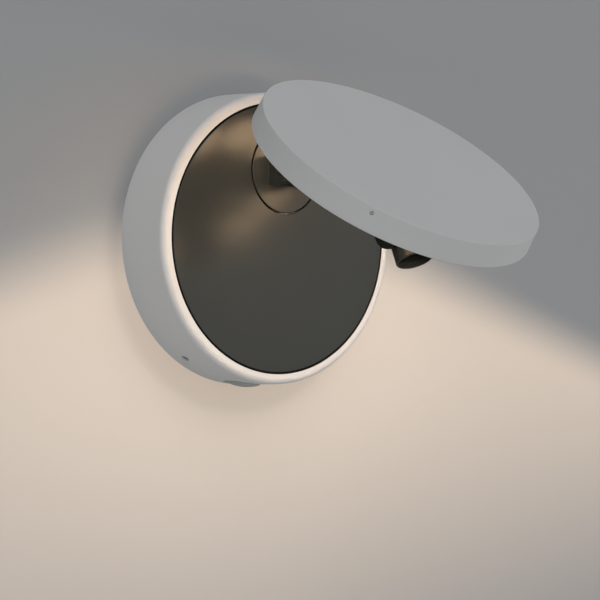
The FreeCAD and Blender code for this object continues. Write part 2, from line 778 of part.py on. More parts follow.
def make_head_grub_screws():
    """Three small headless screws through the rim that grip the heat spreader's edge."""
    screws = []
    for angle in head_grub_angles:
        start = in_head(head_radius - head_skin - assembly_clearance, angle, grub_height)
        end = in_head(head_top_radius - head_grub_sunk, angle, grub_height)
        screw = rod(head_grub_radius, start, end)
        way = (end - start).normalize()
        socket = Part.makeCylinder(head_grub_radius * socket_share, head_grub_radius,
                                   end - way * head_grub_radius, way)
        screws.append(screw.cut(socket))
    return Part.makeCompound(screws)


def make_heat_spreader():
    """Aluminium disc between the dish and the board, with holes for the bosses and the hub."""
    outer = head_radius - head_skin - assembly_clearance
    inner = hub_collar_radius + assembly_clearance
    spreader = revolved([(inner, board_top), (outer, board_top), (outer, head_inside),
                         (inner, head_inside)], "z")
    for angle in hub_screw_angles:
        hole = in_head(hub_screw_circle, angle, board_top)
        spreader = spreader.cut(rod(boss_radius + assembly_clearance, hole,
                                    hole + Vector(0, 0, spreader_thickness)))
    return spreader


def make_head_hub():
    """Dark hub plate under the disc, with the hinge lug and a collar that meets the dish."""
    step = hub_plate_radius - hub_lip_width
    points = [(0, 0), (hub_plate_radius, 0), (hub_plate_radius, hub_lip), (step, hub_lip),
              (step, hub_plate_thickness), (hub_collar_radius, hub_plate_thickness),
              (hub_collar_radius, head_inside), (hub_collar_bore, head_inside),
              (hub_collar_bore, hub_plate_thickness), (0, hub_plate_thickness)]
    hub = revolved(points, "z")
    eye = Vector(0, hinge_from_centre, -hinge_below_head)
    lug = rod(knuckle_radius, eye - Vector(tongue_half_width, 0, 0),
              eye + Vector(tongue_half_width, 0, 0))
    root = block(eye + Vector(-tongue_half_width, -knuckle_radius, 0),
                 Vector(tongue_half_width, hinge_from_centre + lug_root_reach,
                        hub_plate_thickness / 2))
    hub = hub.fuse(lug).fuse(root)
    pin_half = Vector(2 * tongue_half_width, 0, 0)
    hub = hub.cut(rod(hinge_pin_radius + running_clearance, eye - pin_half, eye + pin_half))
    for angle in hub_screw_angles:
        seat = in_head(hub_screw_circle, angle, 0)
        top = seat + Vector(0, 0, hub_plate_thickness)
        hub = hub.cut(rod(screw_passage, seat, top))
        hub = hub.cut(Part.makeCone(screw_head_radius, screw_passage,
                                    screw_head_radius - screw_passage, seat, Vector(0, 0, 1)))
    seat = Vector(0, -spot_from_centre, 0)
    hub = hub.cut(rod(swivel_screw_radius, seat, seat + Vector(0, 0, thread_engagement)))
    return hub.removeSplitter()


def make_hub_screws():
    """Countersunk screws that hold the hub plate to the dish's bosses."""
    screws = []
    for angle in hub_screw_angles:
        seat = in_head(hub_screw_circle, angle, 0)
        depth = screw_head_radius - screw_passage
        head = Part.makeCone(screw_head_radius, screw_passage, depth, seat, Vector(0, 0, 1))
        shank = rod(screw_radius, seat, seat + Vector(0, 0, hub_plate_thickness + thread_engagement))
        screws.append(head.fuse(shank))
    return Part.makeCompound(screws)


def make_diffuser():
    """Opal ring that closes the light chamber, rebated at both edges behind the lips."""
    inner = hub_plate_radius + assembly_clearance
    inner_edge = hub_plate_radius - hub_lip_width + assembly_clearance
    outer = diffuser_outer - assembly_clearance
    outer_edge = head_radius - head_skin - assembly_clearance
    points = [(inner, 0), (outer, 0), (outer, hub_lip), (outer_edge, hub_lip),
              (outer_edge, diffuser_thickness), (inner_edge, diffuser_thickness),
              (inner_edge, hub_lip), (inner, hub_lip)]
    return revolved(points, "z")


def make_led_board():
    """Ring-shaped circuit board under the heat spreader."""
    inner = hub_plate_radius - hub_lip_width + assembly_clearance
    outer = head_radius - head_skin - assembly_clearance
    points = [(inner, board_top - board_thickness), (outer, board_top - board_thickness),
              (outer, board_top), (inner, board_top)]
    return revolved(points, "z")


def make_leds():
    """Light-emitting packages in a circle under the board."""
    packages = []
    top = board_top - board_thickness
    for index in range(led_count):
        low = Vector(led_circle - led_side / 2, -led_side / 2, top - led_height)
        package = block(low, low + Vector(led_side, led_side, led_height))
        package.rotate(Vector(0, 0, 0), Vector(0, 0, 1), 360.0 * index / led_count)
        packages.append(package)
    return Part.makeCompound(packages)


def make_outer_reflector():
    """White sloping ring between the board and the diffuser's outer edge."""
    outer = head_radius - head_skin - assembly_clearance
    top = board_top - board_thickness
    points = [(outer - reflector_foot, diffuser_thickness), (outer, diffuser_thickness),
              (outer, top), (outer - reflector_foot - reflector_slope, top)]
    return revolved(points, "z")


def make_inner_reflector():
    """White sloping ring between the board and the diffuser's inner edge."""
    inner = hub_plate_radius - hub_lip_width + assembly_clearance
    top = board_top - board_thickness
    points = [(inner, diffuser_thickness), (inner + reflector_foot, diffuser_thickness),
              (inner + reflector_foot + reflector_slope, top), (inner, top)]
    return revolved(points, "z")


# ---------- yoke, made level with its swivel axis at the origin and the hub's face at height 0 ----------

yoke_inner_x = spot_radius + assembly_clearance
yoke_outer_x = yoke_inner_x + cheek_thickness
yoke_top = -swivel_washer_thickness
yoke_bottom = yoke_top - yoke_plate_thickness


def placed_on_swivel(shape):
    """Turn a piece aside with the yoke and move it under the head's hub."""
    copy = shape.copy()
    copy.rotate(Vector(0, 0, 0), Vector(0, 0, 1), -spot_turn)
    return placed(copy, head_tilt, spot_swivel)


def placed_on_pivot(shape):
    """Lean a piece of the spot, hang it on its pivot and turn it with the yoke."""
    return placed_on_swivel(placed(shape, -spot_lean, Vector(0, 0, -spot_below_head)))


def make_spot_yoke():
    """Bent fork that swivels under the hub, with two round-ended cheeks that carry the spot."""
    pivot = Vector(0, 0, -spot_below_head)
    yoke = block(Vector(-yoke_outer_x, -cheek_radius, yoke_bottom),
                 Vector(yoke_outer_x, cheek_radius, yoke_top))
    for side in (-1, 1):
        inner = Vector(side * yoke_inner_x, 0, 0)
        outer = Vector(side * yoke_outer_x, 0, 0)
        cheek = rod(cheek_radius, pivot + inner, pivot + outer)
        cheek = cheek.fuse(block(pivot + inner - Vector(0, cheek_radius, 0),
                                 outer + Vector(0, cheek_radius, yoke_top)))
        sink = Vector(side * pivot_recess_depth, 0, 0)
        cheek = cheek.cut(rod(pivot_recess_radius, pivot + outer - sink, pivot + outer))
        yoke = yoke.fuse(cheek)
    across = Vector(2 * yoke_outer_x, 0, 0)
    yoke = yoke.cut(rod(pivot_screw_radius + running_clearance, pivot - across, pivot + across))
    seat = Vector(0, 0, yoke_bottom)
    yoke = yoke.cut(rod(swivel_screw_radius + running_clearance, seat, Vector(0, 0, yoke_top)))
    yoke = yoke.cut(Part.makeCone(swivel_head_radius + running_clearance,
                                  swivel_screw_radius + running_clearance,
                                  swivel_head_radius - swivel_screw_radius, seat,
                                  Vector(0, 0, 1)))
    return yoke.removeSplitter()


def make_swivel_screw():
    """Countersunk screw, flush in the yoke's plate, on which the yoke swivels."""
    seat = Vector(0, 0, yoke_bottom)
    head = Part.makeCone(swivel_head_radius, swivel_screw_radius,
                         swivel_head_radius - swivel_screw_radius, seat, Vector(0, 0, 1))
    return head.fuse(rod(swivel_screw_radius, seat, Vector(0, 0, thread_engagement)))


def make_swivel_washer():
    """Friction washer between the hub plate and the yoke."""
    bore = swivel_screw_radius + running_clearance
    points = [(bore, yoke_top), (swivel_washer_radius, yoke_top), (swivel_washer_radius, 0),
              (bore, 0)]
    return revolved(points, "z")


# ---------- spot, made plumb with its pivot at the origin and its mouth downwards ----------

def make_spot_barrel():
    """Dark tube with a stepped bore and two threads for its pivot screws."""
    step = -spot_front + spot_mouth_depth
    rear = spot_rear - cap_thickness
    points = [(spot_inner_bore, rear), (spot_radius, rear),
              (spot_radius, -spot_front + mouth_bevel), (spot_radius - mouth_bevel, -spot_front),
              (spot_mouth_bore, -spot_front),
              (spot_mouth_bore, step), (spot_inner_bore, step)]
    barrel = revolved(points, "z")
    across = Vector(2 * spot_radius, 0, 0)
    return barrel.cut(rod(pivot_screw_radius, -across, across))


def make_spot_pivot_screws():
    """Two shouldered screws on which the spot turns in the cheeks."""
    screws = []
    head_seat = yoke_outer_x - pivot_recess_depth
    for side in (-1, 1):
        inner = Vector(side * (spot_inner_bore + assembly_clearance), 0, 0)
        seat = Vector(side * (head_seat + running_clearance), 0, 0)
        outer = seat + Vector(side * pivot_head_thickness, 0, 0)
        screw = rod(pivot_screw_radius, inner, seat)
        screws.append(screw.fuse(rod(pivot_head_radius, seat, outer)))
    return Part.makeCompound(screws)


def make_spot_baffle():
    """Black stepped ring set back in the mouth against glare."""
    back = -spot_front + spot_mouth_depth
    depth = spot_mouth_depth / 2
    points = [(spot_mouth_bore, back), (spot_mouth_bore, back - depth)]
    for step in range(baffle_steps, 0, -1):
        width = (spot_mouth_bore - spot_inner_bore) * step / (baffle_steps + 1)
        points.append((spot_inner_bore + width, back - depth * step / baffle_steps))
        points.append((spot_inner_bore + width, back - depth * (step - 1) / baffle_steps))
    return revolved(points, "z")


def make_spot_lens():
    """Clear bull's-eye lens behind the baffle."""
    edge = -spot_front + spot_mouth_depth
    seat = edge + lens_length
    crown = edge + lens_length / 3
    points = [(0, seat), (spot_inner_bore, seat)]
    return revolved(points + dome(spot_inner_bore, crown, edge), "z")


def make_spot_led():
    """Light source on a small round board, clamped by the end cap's plug."""
    plug_end = spot_rear - cap_thickness - lens_length
    board = rod(spot_inner_bore, Vector(0, 0, plug_end - spot_led_thickness / 2),
                Vector(0, 0, plug_end))
    chip = rod(spot_inner_bore / 2, Vector(0, 0, plug_end - spot_led_thickness),
               Vector(0, 0, plug_end - spot_led_thickness / 2))
    return board.fuse(chip)


def make_spot_end_cap():
    """Rear cap with a plug that reaches into the barrel and a cooling groove around it."""
    foot = spot_rear - cap_thickness
    groove = foot + (cap_thickness - cap_bevel - groove_width) / 2
    waist = spot_radius - groove_depth
    points = [(0, foot - lens_length), (spot_inner_bore, foot - lens_length),
              (spot_inner_bore, foot), (spot_radius, foot), (spot_radius, groove),
              (waist, groove), (waist, groove + groove_width),
              (spot_radius, groove + groove_width), (spot_radius, spot_rear - cap_bevel),
              (spot_radius - cap_bevel, spot_rear), (0, spot_rear)]
    return revolved(points, "z")


# ---------- write every piece ----------

os.makedirs("parts", exist_ok=True)

pieces = {
    "wall_plate": make_wall_plate(),
    "cable_grommet": make_cable_grommet(),
    "base_shell": make_base_shell(),
    "base_grub_screws": make_base_grub_screws(),
    "face_plate": make_face_plate(),
    "face_plate_screws": make_face_plate_screws(),
    "bearing_housing": make_bearing_housing(),
    "bearing_screws": make_bearing_screws(),
    "stop_pin": make_stop_pin(),
    "led_driver": make_led_driver(),
    "driver_screws": make_driver_screws(),
    "terminal_block": make_terminal_block(),
    "terminal_screws": make_terminal_screws(),
    "earth_stud": make_earth_stud(),
    "switch_body": make_switch_body(),
    "button_return": make_button_return(),
    "push_button": make_push_button(),
    "turntable": make_turntable(),
    "thrust_washer": make_thrust_washer(),
    "wave_washer": make_wave_washer(),
    "retaining_collar": make_retaining_collar(),
    "collar_screws": make_collar_screws(),
    "base_hinge_pin": make_hinge_pin(base_hinge),
    "base_hinge_washers": make_hinge_washers(base_hinge),
    "arm": placed(make_arm(), arm_drop, base_hinge),
    "arm_cover": placed(make_arm_cover(), arm_drop, base_hinge),
    "head_hinge_pin": make_hinge_pin(head_hinge),
    "head_hinge_washers": make_hinge_washers(head_hinge),
    "head_shell": placed(make_head_shell(), head_tilt, head_centre),
    "head_hub": placed(make_head_hub(), head_tilt, head_centre),
    "hub_screws": placed(make_hub_screws(), head_tilt, head_centre),
    "diffuser": placed(make_diffuser(), head_tilt, head_centre),
    "head_grub_screws": placed(make_head_grub_screws(), head_tilt, head_centre),
    "heat_spreader": placed(make_heat_spreader(), head_tilt, head_centre),
    "led_board": placed(make_led_board(), head_tilt, head_centre),
    "leds": placed(make_leds(), head_tilt, head_centre),
    "outer_reflector": placed(make_outer_reflector(), head_tilt, head_centre),
    "inner_reflector": placed(make_inner_reflector(), head_tilt, head_centre),
    "spot_yoke": placed_on_swivel(make_spot_yoke()),
    "swivel_screw": placed_on_swivel(make_swivel_screw()),
    "swivel_washer": placed_on_swivel(make_swivel_washer()),
    "spot_barrel": placed_on_pivot(make_spot_barrel()),
    "spot_pivot_screws": placed_on_pivot(make_spot_pivot_screws()),
    "spot_baffle": placed_on_pivot(make_spot_baffle()),
    "spot_lens": placed_on_pivot(make_spot_lens()),
    "spot_led": placed_on_pivot(make_spot_led()),
    "spot_end_cap": placed_on_pivot(make_spot_end_cap()),
}

for name, shape in pieces.items():
    shape.exportStep("parts/" + name + ".step")
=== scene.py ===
import json
import math

import bmesh
import bpy
from mathutils import Matrix, Vector


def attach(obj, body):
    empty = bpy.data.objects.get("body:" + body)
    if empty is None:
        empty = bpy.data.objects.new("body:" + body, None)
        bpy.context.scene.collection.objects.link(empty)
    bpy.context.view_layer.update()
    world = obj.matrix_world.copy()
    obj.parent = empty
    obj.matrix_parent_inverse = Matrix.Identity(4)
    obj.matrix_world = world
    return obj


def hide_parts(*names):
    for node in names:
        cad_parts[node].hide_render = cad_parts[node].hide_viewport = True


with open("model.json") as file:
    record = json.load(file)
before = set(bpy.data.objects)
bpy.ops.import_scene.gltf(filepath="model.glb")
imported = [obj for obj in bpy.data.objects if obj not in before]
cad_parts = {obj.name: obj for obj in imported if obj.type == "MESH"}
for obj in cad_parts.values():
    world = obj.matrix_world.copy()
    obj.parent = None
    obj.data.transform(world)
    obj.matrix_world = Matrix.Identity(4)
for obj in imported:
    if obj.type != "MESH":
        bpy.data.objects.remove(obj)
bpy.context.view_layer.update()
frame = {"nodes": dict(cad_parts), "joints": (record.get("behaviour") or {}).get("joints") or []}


# --- Wall, daylight and camera ---
# The lamp hangs on a plain painted wall in soft, even daylight, over a pale floor. The warm pool of
# lamp light down the wall is painted light, a glow in its paint seen only by the camera. A hole in
# the wall lets light reach the lamp's back, and from behind the wall is clear.

class Signal:
    """A value in a material that Python's own operators work on."""

    def __init__(self, finish, socket):
        self.finish = finish
        self.socket = socket

    def maths(self, operation, *values):
        """A maths node on some values, or on this one alone where none is given."""
        return self.finish.node("ShaderNodeMath", {"operation": operation},
                                dict(enumerate(values or (self,))))["Value"]

    def __add__(self, other):
        return self.maths("ADD", self, other)

    def __radd__(self, other):
        return self.maths("ADD", other, self)

    def __sub__(self, other):
        return self.maths("SUBTRACT", self, other)

    def __rsub__(self, other):
        return self.maths("SUBTRACT", other, self)

    def __mul__(self, other):
        return self.maths("MULTIPLY", self, other)

    def __rmul__(self, other):
        return self.maths("MULTIPLY", other, self)

    def __pow__(self, other):
        return self.maths("POWER", self, other)

    def __abs__(self):
        return self.maths("ABSOLUTE")


class Finish:
    """A material made of nodes, which reads the object's own coordinates."""

    def __init__(self, name):
        self.material = bpy.data.materials.new(name)
        self.material.use_nodes = True
        self.tree = self.material.node_tree
        self.tree.nodes.clear()
        self.place = self.node("ShaderNodeTexCoord", {}, {})["Object"]

    def node(self, kind, settings, sockets):
        """A new node with its settings and then its sockets, as its outputs by name."""
        made = self.tree.nodes.new(kind)
        for name, value in settings.items():
            setattr(made, name, value)
        for name, value in sockets.items():
            if isinstance(value, Signal):
                self.tree.links.new(value.socket, made.inputs[name])
            else:
                made.inputs[name].default_value = value
        return {output.name: Signal(self, output) for output in made.outputs if output.enabled}

    def noise(self, scale, detail=2.0):
        """Even noise from 0 to 1, with so many swells per metre."""
        return self.node("ShaderNodeTexNoise", {}, {
            "Vector": self.place, "Scale": scale, "Detail": detail})["Fac"]

    def mix(self, amount, first, second):
        """A colour between two colours."""
        first, second = ((*colour, 1) if isinstance(colour, tuple) else colour
                         for colour in (first, second))
        return self.node("ShaderNodeMix", {"data_type": "RGBA"},
                         {0: amount, 6: first, 7: second})["Result"]

    def along(self, axis, place=None):
        """One coordinate of a place, by its letter."""
        return self.node("ShaderNodeSeparateXYZ", {}, {"Vector": place or self.place})[axis]

    def seen_from(self, centre, turn):
        """The object's coordinates as a piece with its own centre and turn reads them."""
        return self.node("ShaderNodeMapping", {"vector_type": "TEXTURE"}, {
            "Vector": self.place, "Location": centre, "Rotation": turn})["Vector"]

    def step(self, value, low, high):
        """A soft rise from 0 at low to 1 at high."""
        return self.node("ShaderNodeMapRange", {"interpolation_type": "SMOOTHSTEP"}, {
            "Value": value, "From Min": low, "From Max": high})["Result"]

    def bump(self, height, strength, distance):
        """Small relief, in metres."""
        return self.node("ShaderNodeBump", {}, {
            "Height": height, "Strength": strength, "Distance": distance})["Normal"]

    def surface(self, sockets):
        """Close the material with a Principled surface."""
        shader = self.node("ShaderNodeBsdfPrincipled", {}, sockets)["BSDF"]
        self.node("ShaderNodeOutputMaterial", {}, {"Surface": shader})
        return self.material


def stage_plane(name, corners, hole_radius=None):
    """A flat stage piece through four corners, with a round hole about the origin if asked."""
    mesh = bpy.data.meshes.new(name)
    piece = bpy.data.objects.new(name, mesh)
    bpy.context.collection.objects.link(piece)
    shape = bmesh.new()
    outline = [shape.verts.new(corner) for corner in corners]
    edges = [shape.edges.new((outline[i - 1], outline[i])) for i in range(4)]
    if hole_radius:
        ring = bmesh.ops.create_circle(shape, radius=hole_radius, segments=96,
                                       matrix=Matrix.Rotation(math.pi / 2, 4, "X"))["verts"]
        edges += [edge for edge in shape.edges if edge.verts[0] in ring]
        bmesh.ops.triangle_fill(shape, edges=edges, use_beauty=True)
    else:
        shape.faces.new(outline)
    shape.to_mesh(mesh)
    shape.free()
    return piece


wall_grey = (0.306, 0.311, 0.316), (0.314, 0.319, 0.324)
# The warm pool of lamp light on the wall is painted light, drawn as a glow in the wall's paint.
painted_pool_light_colour = (0.420, 0.312, 0.220)
pool_peak = 0.028           # height of the pool's blunt peak, before the bluntness lowers it
pool_fall = 0.35            # drop of its edge per metre to either side
pool_bluntness = 0.04
pool_edge = 0.022           # half the width of its soft edge
pool_full = -0.02           # height below which it fades
pool_foot = -0.32           # height at which it has faded out
pool_strength = 0.97
pool_lean = 0.5             # gain of strength per metre to the right

wall_finish = Finish("wall_paint")
wall_grain = wall_finish.noise(260.0, 3.0)
wall_shade = wall_finish.mix(wall_finish.noise(3.0, 1.0), *wall_grey)
wall_front = wall_finish.node("ShaderNodeBsdfDiffuse", {}, {
    "Color": wall_shade, "Normal": wall_finish.bump(wall_grain, 0.15, 0.0006)})["BSDF"]
across = wall_finish.along("X")
upward = wall_finish.along("Z")
pool_top = pool_peak - pool_fall * (across ** 2 + pool_bluntness ** 2) ** 0.5
painted_light_pool = (wall_finish.step(pool_top - upward, -pool_edge, pool_edge)
        * wall_finish.step(upward, pool_foot, pool_full)
        * (pool_strength + across * pool_lean))
# The painted pool of light is seen only by camera rays.
seen = wall_finish.node("ShaderNodeLightPath", {}, {})["Is Camera Ray"]
painted_light_glow = wall_finish.node("ShaderNodeEmission", {}, {
    "Color": wall_finish.mix(painted_light_pool * seen, (0.0, 0.0, 0.0), painted_pool_light_colour),
    "Strength": 1.0})["Emission"]
wall_lit = wall_finish.node("ShaderNodeAddShader", {}, {0: wall_front, 1: painted_light_glow})["Shader"]
wall_clear = wall_finish.node("ShaderNodeBsdfTransparent", {}, {})["BSDF"]
from_behind = wall_finish.node("ShaderNodeNewGeometry", {}, {})["Backfacing"]
wall_faces = wall_finish.node("ShaderNodeMixShader", {}, {
    0: from_behind, 1: wall_lit, 2: wall_clear})["Shader"]
wall_finish.node("ShaderNodeOutputMaterial", {}, {"Surface": wall_faces})

reach = 3.0
floor_level = -1.0
wall = stage_plane("wall", [(-reach, 0, floor_level), (reach, 0, floor_level),
                            (reach, 0, reach), (-reach, 0, reach)], hole_radius=0.0685)
wall.data.materials.append(wall_finish.material)
# The fill leaves open which way the wall faces, and its front is the side of the lamp.
if wall.data.polygons[0].normal.y > 0:
    wall.data.flip_normals()

floor_finish = Finish("floor_paint")
floor_shade = floor_finish.mix(floor_finish.noise(4.0), (0.56, 0.56, 0.55), (0.59, 0.59, 0.58))
floor = stage_plane("floor", [(side * reach, end * reach, floor_level)
                              for side, end in ((-1, -1), (1, -1), (1, 1), (-1, 1))])
floor.data.materials.append(floor_finish.surface({"Base Color": floor_shade, "Roughness": 0.8}))

daylight = bpy.data.worlds.new("daylight")
daylight.use_nodes = True
sky = daylight.node_tree.nodes["Background"].inputs
sky["Color"].default_value = (0.96, 0.98, 1.0, 1)
sky["Strength"].default_value = 0.78
bpy.context.scene.world = daylight


def soft_lamp(name, place, aim, size, power, colour):
    """A large square lamp that points at a place."""
    data = bpy.data.lights.new(name, "AREA")
    data.size = size
    data.energy = power
    data.color = colour
    lamp = bpy.data.objects.new(name, data)
    turn = (Vector(aim) - Vector(place)).to_track_quat("-Z", "Y").to_matrix().to_4x4()
    lamp.matrix_world = Matrix.Translation(place) @ turn
    bpy.context.collection.objects.link(lamp)


soft_lamp("top_lamp", (-0.4, -0.7, 1.6), (0, -0.08, 0), 1.6, 4.2, (0.97, 0.99, 1.0))
soft_lamp("left_lamp", (-1.7, -0.2, -0.3), (0, -0.06, 0), 1.4, 6.5, (1.0, 0.99, 0.98))
soft_lamp("low_lamp", (-0.1, -0.35, -0.9), (0, -0.04, 0), 0.8, 1.3, (1.0, 0.99, 0.97))
soft_lamp("right_lamp", (1.6, -0.4, -0.8), (0, -0.08, 0), 1.4, 6.0, (1.0, 0.99, 0.97))

camera_place = (-0.30694, -0.40293, -0.01156)
azimuth, elevation = math.radians(-40.164), math.radians(1.980)
camera_data = bpy.data.cameras.new("camera")
camera_data.sensor_width = 36.0
camera_data.lens = 62.43
camera_data.clip_start = 0.01
camera = bpy.data.objects.new("camera", camera_data)
ahead = Vector((-math.sin(azimuth) * math.cos(elevation),
                math.cos(azimuth) * math.cos(elevation), -math.sin(elevation)))
camera.matrix_world = (Matrix.Translation(camera_place)
                       @ ahead.to_track_quat("-Z", "Y").to_matrix().to_4x4())
bpy.context.collection.objects.link(camera)
bpy.context.scene.camera = camera
bpy.context.scene.view_settings.view_transform = "Standard"


# --- Wall plate, cable bush and earth stud ---
# A round plate pressed from zinc-plated steel, with three tabs bent forward for the side screws. A
# rubber bush lines its cable hole and a brass stud with a nut takes the earth wire.

def dress(material, *nodes):
    """Give CAD nodes a material."""
    for name in nodes:
        for held in frame["nodes"][name].material_slots:
            held.material = material


def shades(colour, spread):
    """A darker and a lighter tone of a colour."""
    return (tuple(value * (1 - spread) for value in colour),
            tuple(min(1.0, value * (1 + spread)) for value in colour))


def bare_metal(name, colour, roughness, grain_scale=900.0, spread=0.08):
    """Bare or plated metal with a fine grain and cloudy changes of polish."""
    finish = Finish(name)
    grain = finish.noise(grain_scale, 3.0)
    cloud = finish.noise(45.0)
    return finish.surface({
        "Base Color": finish.mix(cloud * 0.6 + grain * 0.4, *shades(colour, spread)),
        "Metallic": 1.0,
        "Roughness": roughness - 0.08 + cloud * 0.1 + grain * 0.06,
        "Normal": finish.bump(grain, 0.08, 0.00004)})


def rubber(name, colour):
    """Soft matt rubber with a dusty bloom."""
    finish = Finish(name)
    bloom = finish.noise(120.0, 4.0)
    return finish.surface({
        "Base Color": finish.mix(bloom, *shades(colour, 0.25)),
        "Roughness": 0.72 + bloom * 0.14,
        "Specular IOR Level": 0.3,
        "Normal": finish.bump(finish.noise(2400.0), 0.12, 0.00005)})


dress(bare_metal("zinc_plated_steel", (0.60, 0.61, 0.60), 0.42, 320.0, 0.12), "wall_plate")
dress(rubber("black_rubber", (0.028, 0.028, 0.030)), "cable_grommet")
dress(bare_metal("earth_brass", (0.72, 0.53, 0.24), 0.34), "earth_stud")


# --- Side screws of the drum ---
# Three headless M4 screws of blackened steel with hexagon sockets and cup points. They go through
# the drum's side onto the wall plate's tabs, and sit just below the paint.

mm = 0.001
same_place = 1e-7           # metres within which two places count as one
turn_steps = 24             # corners of a turned screw's rim


def rim_edges(shape, radius, height):
    """The edges that run round a turned shape at a radius and height."""
    on_rim = {vert for vert in shape.verts
              if abs(vert.co.z - height) < same_place
              and abs(vert.co.xy.length - radius) < same_place}
    return [edge for edge in shape.edges
            if edge.verts[0] in on_rim and edge.verts[1] in on_rim]


def turned(outline):
    """A shape turned about Z from an outline of radius and height, in millimetres."""
    shape = bmesh.new()
    corners = [shape.verts.new((radius * mm, 0, height * mm)) for radius, height in outline]
    edges = [shape.edges.new(pair) for pair in zip(corners, corners[1:])]
    bmesh.ops.spin(shape, geom=corners + edges, cent=(0, 0, 0), axis=(0, 0, 1),
                   angle=2 * math.pi, steps=turn_steps, use_merge=True)
    bmesh.ops.remove_doubles(shape, verts=shape.verts, dist=same_place)
    return shape


def socket_screw(outline, across_flats, depth):
    """A turned screw, from the flat of its head to its end, with a hexagon socket in the head."""
    shape = turned(outline)
    top = outline[0][1] * mm
    rim = rim_edges(shape, outline[0][0] * mm, top)
    foot = rim_edges(shape, outline[-1][0] * mm, outline[-1][1] * mm)
    bmesh.ops.holes_fill(shape, edges=foot, sides=0)
    corner = across_flats * mm / 2 / math.cos(math.pi / 6)
    hexagon = bmesh.ops.create_circle(shape, radius=corner, segments=6,
                                      matrix=Matrix.Translation((0, 0, top)))["verts"]
    sides = list({edge for vert in hexagon for edge in vert.link_edges})
    bmesh.ops.subdivide_edges(shape, edges=sides, cuts=turn_steps // 6 - 1)
    ring = {vert for vert in shape.verts
            if abs(vert.co.z - top) < same_place
            and vert.co.xy.length < corner + 10 * same_place}
    mouth = [edge for edge in shape.edges if edge.verts[0] in ring and edge.verts[1] in ring]
    bmesh.ops.bridge_loops(shape, edges=rim + mouth)
    made = bmesh.ops.extrude_edge_only(shape, edges=mouth)["geom"]
    bottom = {item for item in made if isinstance(item, bmesh.types.BMVert)}
    bmesh.ops.translate(shape, verts=list(bottom), vec=(0, 0, -depth * mm))
    bottom_edges = [edge for edge in shape.edges
                    if edge.verts[0] in bottom and edge.verts[1] in bottom]
    bmesh.ops.holes_fill(shape, edges=bottom_edges, sides=0)
    bmesh.ops.recalc_face_normals(shape, faces=shape.faces)
    return shape


def stand_in(shape, name, body, node, material, sharp_angle):
    """A piece from a finished shape, which stands for a CAD node and moves with its body."""
    mesh = bpy.data.meshes.new(name)
    shape.to_mesh(mesh)
    shape.free()
    mesh.shade_smooth()
    mesh.set_sharp_from_angle(angle=math.radians(sharp_angle))
    mesh.materials.append(material)
    piece = bpy.data.objects.new(name, mesh)
    bpy.context.collection.objects.link(piece)
    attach(piece, body)
    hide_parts(node)
    return piece


def set_of(pattern, name, seats, body, node, material):
    """Copies of one turned shape, one on each seat, as a piece that stands for a CAD node."""
    single = bpy.data.meshes.new(name + "_single")
    pattern.to_mesh(single)
    pattern.free()
    shape = bmesh.new()
    for place, way in seats:
        before = len(shape.verts)
        shape.from_mesh(single)
        shape.verts.ensure_lookup_table()
        turn = Vector(way).to_track_quat("Z", "Y").to_matrix().to_4x4()
        bmesh.ops.transform(shape, verts=shape.verts[before:],
                            matrix=Matrix.Translation(place) @ turn)
    bpy.data.meshes.remove(single)
    stand_in(shape, name, body, node, material, sharp_angle=28)


def around(radius, angle, out, height=0.0):
    """A place on a circle about the drum's axis, in millimetres from the axis and the wall."""
    turn = math.radians(angle)
    return Vector((radius * math.cos(turn), -out, height + radius * math.sin(turn))) * mm


def outward(angle):
    """The way from the drum's axis to a point on its side."""
    turn = math.radians(angle)
    return Vector((math.cos(turn), 0, math.sin(turn)))


black_steel = bare_metal("blackened_steel", (0.030, 0.030, 0.032), 0.42)
top_to_axis, axis_to_wall = 68.43, 8.7
cup_pointed = [(1.75, 0), (2.0, -0.25), (2.0, -5.9), (1.3, -6.43), (0.9, -6.0)]
set_of(socket_screw(cup_pointed, across_flats=2.0, depth=2.0), "side_screws",
       [(around(top_to_axis, angle, axis_to_wall), outward(angle)) for angle in (90, 232, 308)],
       "base", "base_grub_screws", black_steel)


# --- Driver, terminal block and switch ---
# The driver is a white moulded box on the wall plate, held by two screws through its ears. A
# terminal block with three ways takes the mains, and a tap switch stands behind the push button.

def moulded(name, colour, roughness, gloss=0.4):
    """Moulded plastic with a spark-eroded skin, slightly uneven in tone."""
    finish = Finish(name)
    skin = finish.noise(1900.0)
    flow = finish.noise(35.0)
    return finish.surface({
        "Base Color": finish.mix(flow * 0.7 + skin * 0.3, *shades(colour, 0.04)),
        "Roughness": roughness - 0.05 + flow * 0.1,
        "Specular IOR Level": gloss,
        "Normal": finish.bump(skin, 0.15, 0.00006)})


def pan_screw(length):
    """An M2.5 pan-head screw with a hexagon socket."""
    head, head_height, ease = 2.6, 1.6, 0.65
    shank, point = 1.25, 0.3
    return socket_screw([(head - ease, head_height), (head, head_height - ease), (head, 0),
                         (shank, 0), (shank, point - length), (shank - point, -length)],
                        across_flats=2.0, depth=1.1)


dress(moulded("driver_white", (0.72, 0.72, 0.71), 0.5), "led_driver")
dress(moulded("terminal_grey", (0.62, 0.62, 0.58), 0.45), "terminal_block")
dress(moulded("switch_black", (0.03, 0.03, 0.033), 0.5), "switch_body")
dress(rubber("grey_rubber", (0.13, 0.13, 0.135)), "button_return")

bright_steel = bare_metal("bright_steel", (0.55, 0.55, 0.56), 0.30)
dress(bright_steel, "terminal_screws", "stop_pin")
foot_side, foot_front, foot_level = 34, -4, -36
set_of(pan_screw(length=2.0), "driver_feet_screws",
       [(Vector((side * foot_side, foot_front, foot_level)) * mm, (0, -1, 0)) for side in (-1, 1)],
       "base", "driver_screws", bright_steel)
